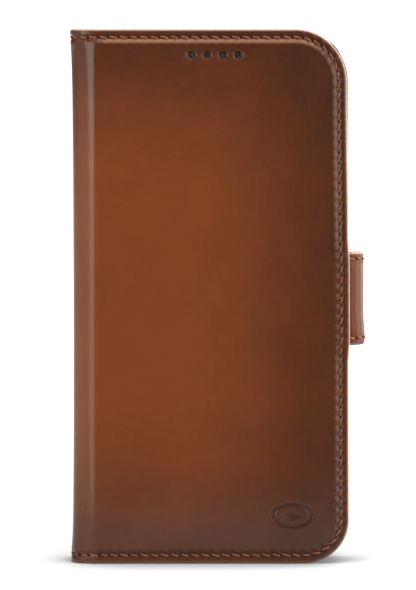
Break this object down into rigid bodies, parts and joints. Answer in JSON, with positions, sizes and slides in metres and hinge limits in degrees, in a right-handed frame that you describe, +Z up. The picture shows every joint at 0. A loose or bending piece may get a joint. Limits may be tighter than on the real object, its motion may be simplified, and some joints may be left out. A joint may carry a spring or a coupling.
{
  "type": "phone wallet case",
  "caption": "Leather folio phone wallet case with a hinged front cover, moulded phone cradle, card and cash pockets, and a magnetic closure strap round its edge.",
  "frame": {"origin": "middle of the bounding box's base, on the surface that the closed case stands on", "axes": "+Z up along the case's height, front cover facing -Y, spine at -X, closure strap at +X"},
  "size_m": [0.0914, 0.025, 0.168],
  "materials": {
    "outer_leather": "burnished aniline cowhide, satin",
    "pocket_leather": "smooth skived cowhide, satin",
    "lining_leather": "smooth thin lining leather, matte",
    "thread": "waxed polyester thread",
    "board": "pressed grey board",
    "foam": "thin closed-cell foam",
    "keeper_steel": "zinc-plated steel sheet",
    "steel_mesh": "woven stainless mesh",
    "magnet": "nickel-plated magnet",
    "cradle": "soft moulded polyurethane, fine texture",
    "microfibre": "brushed microfibre"
  },
  "bodies": {
    "back": {"back_cover_leather": "outer_leather", "back_cover_thread": "thread", "back_cover_board": "board", "strap_keeper_plate": "keeper_steel", "back_lining": "lining_leather", "phone_cradle": "cradle", "cradle_pad": "microfibre"},
    "spine": {"spine_leather": "outer_leather", "spine_lining": "lining_leather", "spine_thread_lower": "thread", "spine_thread_upper": "thread"},
    "front_cover": {"front_cover_leather": "outer_leather", "front_cover_thread": "thread", "front_cover_foam": "foam", "earpiece_mesh": "steel_mesh", "front_cover_board": "board", "front_lining": "lining_leather", "cash_pocket": "pocket_leather", "card_pocket_1": "pocket_leather", "card_pocket_2": "pocket_leather", "card_pocket_3": "pocket_leather", "strap_sewn_end": "outer_leather"},
    "strap_bridge": {"strap_bridge_leather": "outer_leather", "strap_bridge_lining": "lining_leather"},
    "strap_flap": {"strap_flap_leather": "outer_leather", "strap_magnet": "magnet", "strap_flap_lining": "lining_leather"}
  },
  "joints": [
    {"name": "spine_hinge", "type": "hinge", "parent": "back", "child": "spine", "pos_m": [-0.0387, 0.0092, 0], "axis": [0, 0, -1], "range_deg": [0, 178]},
    {"name": "cover_hinge", "type": "hinge", "parent": "spine", "child": "front_cover", "pos_m": [-0.0387, -0.0125, 0], "axis": [0, 0, -1], "range_deg": [0, 178]},
    {"name": "strap_root", "type": "hinge", "parent": "front_cover", "child": "strap_bridge", "pos_m": [0.04095, -0.0111, 0], "axis": [0, 0, -1], "range_deg": [0, 100]},
    {"name": "strap_tip", "type": "hinge", "parent": "strap_bridge", "child": "strap_flap", "pos_m": [0.04095, 0.0125, 0], "axis": [0, 0, -1], "range_deg": [0, 100]}
  ]
}
